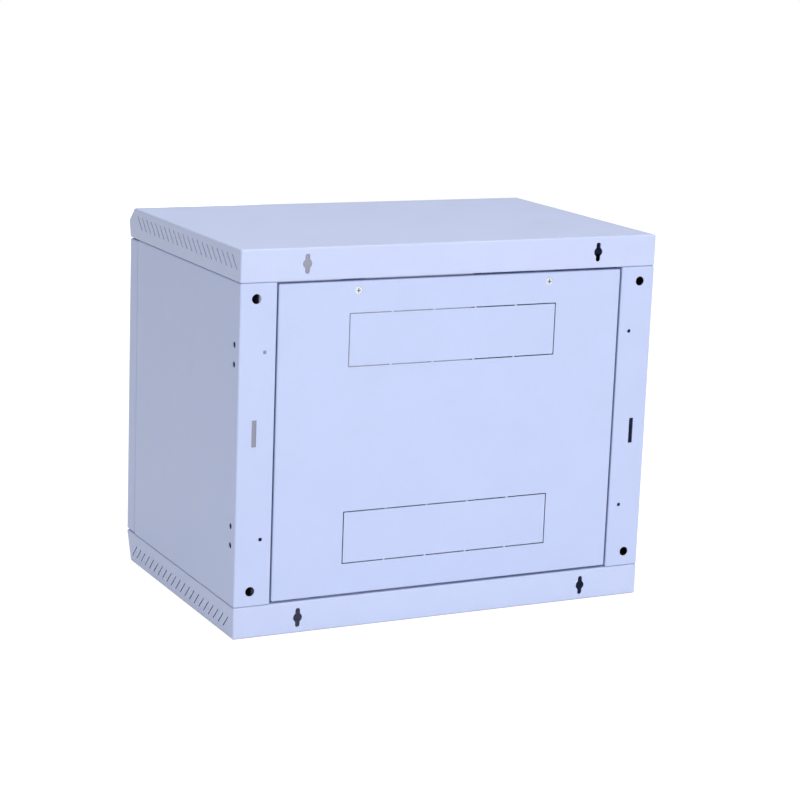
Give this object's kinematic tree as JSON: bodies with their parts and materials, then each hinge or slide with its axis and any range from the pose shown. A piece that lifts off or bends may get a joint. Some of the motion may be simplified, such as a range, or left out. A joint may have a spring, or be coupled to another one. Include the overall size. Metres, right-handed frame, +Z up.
{
  "type": "wall mount network cabinet",
  "caption": "Wall-hung sheet steel network cabinet with vented covers, removable rear panel with knock-outs, hinged glass door with lock and depth-adjustable 19-inch rails.",
  "frame": {"origin": "under the middle of the cabinet's outer box, on the plane of the floor plate", "axes": "-Y is the front with the glass door, +Y the rear that goes to the wall, +Z up, +X to the right as seen from the front"},
  "size_m": [0.6, 0.3998, 0.5],
  "materials": {
    "powder_coat": "satin powder coat, light grey with a blue tinge",
    "zinc_sheet": "zinc-plated sheet",
    "zinc_fastener": "bright zinc plate",
    "spring_steel": "bright drawn wire",
    "smoked_glass": "tempered, smoked",
    "black_rubber": "matte",
    "bush_plastic": "moulded, natural white",
    "lock_chrome": "chrome plate"
  },
  "bodies": {
    "cabinet": {"top_cover": "powder_coat", "bottom_cover": "powder_coat", "side_panel_right": "powder_coat", "side_panel_left": "powder_coat", "cover_bolts": "zinc_fastener", "cover_nuts": "zinc_fastener", "rear_panel": "powder_coat", "rear_panel_screws": "zinc_fastener", "rear_panel_brackets": "powder_coat", "rear_panel_nuts": "zinc_fastener", "bracket_rivets": "zinc_fastener", "depth_rail_lower_right": "powder_coat", "depth_rail_upper_right": "powder_coat", "depth_rail_lower_left": "powder_coat", "depth_rail_upper_left": "powder_coat", "rail_studs": "zinc_fastener", "stud_nuts": "zinc_fastener", "door_buffers": "black_rubber", "upper_hinge_bush": "bush_plastic", "lower_hinge_bush": "bush_plastic", "ground_stud": "zinc_fastener", "ground_nut": "zinc_fastener"},
    "door": {"door_frame": "powder_coat", "door_glass": "smoked_glass", "glass_gasket": "black_rubber", "glass_clips": "zinc_fastener", "clip_studs": "zinc_fastener", "clip_nuts": "zinc_fastener", "upper_hinge_bracket": "zinc_fastener", "lower_hinge_bracket": "zinc_fastener", "lower_hinge_pin": "zinc_fastener", "pin_spring": "spring_steel", "lock_body": "lock_chrome", "lock_nut": "zinc_fastener"},
    "hinge_pin": {"upper_hinge_pin": "zinc_fastener"},
    "lock": {"lock_cylinder": "lock_chrome", "lock_cam": "zinc_fastener", "cam_screw": "zinc_fastener"},
    "rail_front_right": {"mounting_rail_front_right": "zinc_sheet", "rail_bolts_front_right": "zinc_fastener", "rail_nuts_front_right": "zinc_fastener"},
    "rail_front_left": {"mounting_rail_front_left": "zinc_sheet", "rail_bolts_front_left": "zinc_fastener", "rail_nuts_front_left": "zinc_fastener"},
    "rail_rear_right": {"mounting_rail_rear_right": "zinc_sheet", "rail_bolts_rear_right": "zinc_fastener", "rail_nuts_rear_right": "zinc_fastener"},
    "rail_rear_left": {"mounting_rail_rear_left": "zinc_sheet", "rail_bolts_rear_left": "zinc_fastener", "rail_nuts_rear_left": "zinc_fastener"}
  },
  "joints": [
    {"name": "door_swing", "type": "hinge", "parent": "cabinet", "child": "door", "pos_m": [-0.2935, -0.181, 0.25], "axis": [0, 0, -1], "range_deg": [0, 180]},
    {"name": "hinge_pin_pull", "type": "slide", "parent": "door", "child": "hinge_pin", "axis": [0, 0, -1], "range_m": [0, 0.008], "stiffness_N_per_m": 2400, "springref_m": -0.004, "deforming": ["pin_spring"]},
    {"name": "lock_turn", "type": "hinge", "parent": "door", "child": "lock", "pos_m": [0.267, -0.195, 0.25], "axis": [0, -1, 0], "range_deg": [0, 90]},
    {"name": "rail_slide_front_right", "type": "slide", "parent": "cabinet", "child": "rail_front_right", "axis": [0, 1, 0], "range_m": [-0.015, 0.08]},
    {"name": "rail_slide_front_left", "type": "slide", "parent": "cabinet", "child": "rail_front_left", "axis": [0, 1, 0], "range_m": [-0.015, 0.08]},
    {"name": "rail_slide_rear_right", "type": "slide", "parent": "cabinet", "child": "rail_rear_right", "axis": [0, 1, 0], "range_m": [-0.06, 0.1]},
    {"name": "rail_slide_rear_left", "type": "slide", "parent": "cabinet", "child": "rail_rear_left", "axis": [0, 1, 0], "range_m": [-0.06, 0.1]}
  ]
}
